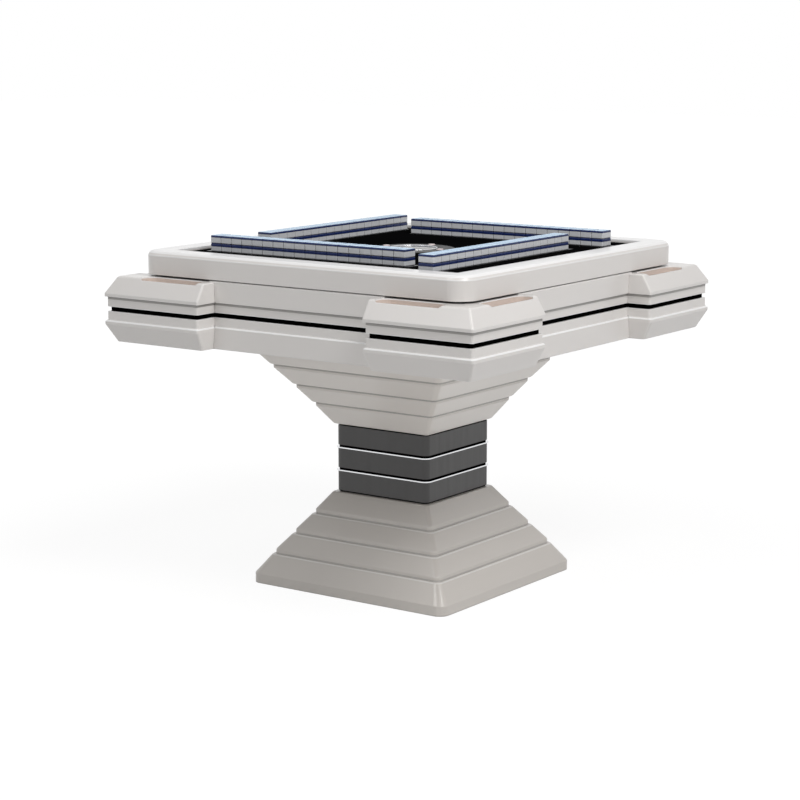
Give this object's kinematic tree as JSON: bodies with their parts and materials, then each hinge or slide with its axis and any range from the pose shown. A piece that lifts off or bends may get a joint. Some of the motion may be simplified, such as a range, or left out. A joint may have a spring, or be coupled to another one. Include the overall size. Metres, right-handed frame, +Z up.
{
  "type": "automatic mahjong table",
  "caption": "Square powered game table on a stepped pedestal, with corner trays, a black cloth, tile lifts, a centre console and a tile-sorting drum inside.",
  "frame": {"origin": "on the floor, under the middle of the table", "axes": "+Z up; -Y is the front, the picture's left-hand face; +X is the picture's right-hand face"},
  "size_m": [0.988, 0.988, 0.7994],
  "materials": {
    "pad_rubber": "matte",
    "base_steel": "satin black",
    "base_grey": "gloss warm grey",
    "post_steel": "satin black",
    "bolt_steel": "zinc plated",
    "liner_black": "matt black",
    "panel_dark": "satin dark grey",
    "band_chrome": "polished",
    "cowl_grey": "gloss warm grey",
    "frame_steel": "satin black",
    "pan_steel": "satin black",
    "deck_steel": "galvanised grey",
    "side_grey": "gloss warm grey",
    "box_grey": "gloss warm grey",
    "trim_black": "gloss black",
    "rim_grey": "gloss light grey",
    "board_wood": "raw fibreboard",
    "cloth_black": "black cloth",
    "buffer_rubber": "matte",
    "lift_plastic": "satin dark grey",
    "tile_resin": "polished, light blue back and light grey face",
    "machine_black": "satin black",
    "machine_grey": "satin grey",
    "drum_plastic": "satin dark grey",
    "turntable_plastic": "satin dark grey",
    "wheel_plastic": "gloss white plastic",
    "roller_rubber": "matte",
    "belt_rubber": "dark green rubber",
    "circuit_green": "solder mask green",
    "supply_metal": "bare aluminium sheet",
    "inlet_black": "matt black",
    "switch_red": "red",
    "console_black": "gloss black",
    "column_steel": "brushed",
    "button_pink": "pinkish white",
    "plate_white": "white",
    "dice_white": "ivory",
    "dome_clear": "clear"
  },
  "bodies": {
    "stand": {"foot_pads": "pad_rubber", "base_plate": "base_steel", "base_cover": "base_grey", "column_post": "post_steel", "flange_bolts": "bolt_steel", "column_liner": "liner_black", "column_panels": "panel_dark", "column_bands": "band_chrome", "under_cowl": "cowl_grey", "chassis_frame": "frame_steel", "bottom_pan": "pan_steel", "machine_deck": "deck_steel", "top_buffers": "buffer_rubber", "side_panel_front": "side_grey", "side_panel_right": "side_grey", "side_panel_back": "side_grey", "side_panel_left": "side_grey", "corner_box_front_right": "box_grey", "corner_box_back_right": "box_grey", "corner_box_back_left": "box_grey", "corner_box_front_left": "box_grey", "trim_strips": "trim_black", "lift_guides": "machine_grey", "lift_actuators": "machine_black", "console_guide": "machine_grey", "drum_wall": "drum_plastic", "turntable_motor": "machine_black", "wheel_motors": "machine_black", "conveyor_beds": "drum_plastic", "conveyor_belts": "belt_rubber", "control_board": "circuit_green", "power_supply": "supply_metal", "power_inlet": "inlet_black"},
    "tabletop": {"rim": "rim_grey", "table_board": "board_wood", "playing_cloth": "cloth_black"},
    "console": {"console_housing": "console_black", "console_column": "column_steel", "dice_dome": "dome_clear"},
    "dice_plate": {"dice_plate": "plate_white", "dice": "dice_white"},
    "dice_button_front": {"dice_button_front": "button_pink"},
    "dice_button_right": {"dice_button_right": "button_pink"},
    "dice_button_back": {"dice_button_back": "button_pink"},
    "dice_button_left": {"dice_button_left": "button_pink"},
    "tile_lift_front": {"tile_lift_front": "lift_plastic", "tile_wall_front": "tile_resin"},
    "tile_lift_right": {"tile_lift_right": "lift_plastic", "tile_wall_right": "tile_resin"},
    "tile_lift_back": {"tile_lift_back": "lift_plastic", "tile_wall_back": "tile_resin"},
    "tile_lift_left": {"tile_lift_left": "lift_plastic", "tile_wall_left": "tile_resin"},
    "turntable": {"turntable": "turntable_plastic"},
    "drive_roller": {"drive_roller": "roller_rubber"},
    "magnet_wheel_front_right": {"magnet_wheel_front_right": "wheel_plastic"},
    "magnet_wheel_back_right": {"magnet_wheel_back_right": "wheel_plastic"},
    "magnet_wheel_back_left": {"magnet_wheel_back_left": "wheel_plastic"},
    "magnet_wheel_front_left": {"magnet_wheel_front_left": "wheel_plastic"},
    "power_switch": {"power_switch": "switch_red"}
  },
  "joints": [
    {"name": "tabletop_lift_off", "type": "slide", "parent": "stand", "child": "tabletop", "axis": [0, 0, 1], "range_m": [0, 0.15]},
    {"name": "console_rise", "type": "slide", "parent": "stand", "child": "console", "axis": [0, 0, 1], "range_m": [0, 0.06]},
    {"name": "dice_plate_spin", "type": "hinge", "parent": "console", "child": "dice_plate", "pos_m": [0, 0, 0.75], "axis": [0, 0, 1], "continuous": true},
    {"name": "dice_button_front_press", "type": "slide", "parent": "console", "child": "dice_button_front", "axis": [0, 0, 1], "range_m": [-0.0018, 0], "stiffness_N_per_m": 300, "springref_m": 0.0015},
    {"name": "dice_button_right_press", "type": "slide", "parent": "console", "child": "dice_button_right", "axis": [0, 0, 1], "range_m": [-0.0018, 0], "stiffness_N_per_m": 300, "springref_m": 0.0015},
    {"name": "dice_button_back_press", "type": "slide", "parent": "console", "child": "dice_button_back", "axis": [0, 0, 1], "range_m": [-0.0018, 0], "stiffness_N_per_m": 300, "springref_m": 0.0015},
    {"name": "dice_button_left_press", "type": "slide", "parent": "console", "child": "dice_button_left", "axis": [0, 0, 1], "range_m": [-0.0018, 0], "stiffness_N_per_m": 300, "springref_m": 0.0015},
    {"name": "tile_lift_front_drop", "type": "slide", "parent": "stand", "child": "tile_lift_front", "axis": [0, 0, 1], "range_m": [-0.06, 0]},
    {"name": "tile_lift_right_drop", "type": "slide", "parent": "stand", "child": "tile_lift_right", "axis": [0, 0, 1], "range_m": [-0.06, 0]},
    {"name": "tile_lift_back_drop", "type": "slide", "parent": "stand", "child": "tile_lift_back", "axis": [0, 0, 1], "range_m": [-0.06, 0]},
    {"name": "tile_lift_left_drop", "type": "slide", "parent": "stand", "child": "tile_lift_left", "axis": [0, 0, 1], "range_m": [-0.06, 0]},
    {"name": "turntable_spin", "type": "hinge", "parent": "stand", "child": "turntable", "pos_m": [0, 0, 0.651], "axis": [0, 0, 1], "continuous": true},
    {"name": "drive_roller_spin", "type": "hinge", "parent": "stand", "child": "drive_roller", "pos_m": [0.21171, -0.07706, 0.62], "axis": [0, 0, 1], "continuous": true},
    {"name": "magnet_wheel_front_right_spin", "type": "hinge", "parent": "stand", "child": "magnet_wheel_front_right", "pos_m": [0.17395, -0.17395, 0.6951], "axis": [0.7071, 0.7071, 0], "continuous": true},
    {"name": "magnet_wheel_back_right_spin", "type": "hinge", "parent": "stand", "child": "magnet_wheel_back_right", "pos_m": [0.17395, 0.17395, 0.6951], "axis": [-0.7071, 0.7071, 0], "continuous": true},
    {"name": "magnet_wheel_back_left_spin", "type": "hinge", "parent": "stand", "child": "magnet_wheel_back_left", "pos_m": [-0.17395, 0.17395, 0.6951], "axis": [-0.7071, -0.7071, 0], "continuous": true},
    {"name": "magnet_wheel_front_left_spin", "type": "hinge", "parent": "stand", "child": "magnet_wheel_front_left", "pos_m": [-0.17395, -0.17395, 0.6951], "axis": [0.7071, -0.7071, 0], "continuous": true},
    {"name": "power_switch_rock", "type": "hinge", "parent": "stand", "child": "power_switch", "pos_m": [-0.125, 0.345, 0.5719], "axis": [0, 1, 0], "range_deg": [0, 15.5]}
  ],
  "couplings": [
    {"joint": "drive_roller_spin", "follows": "turntable_spin", "ratio": -10.25}
  ]
}
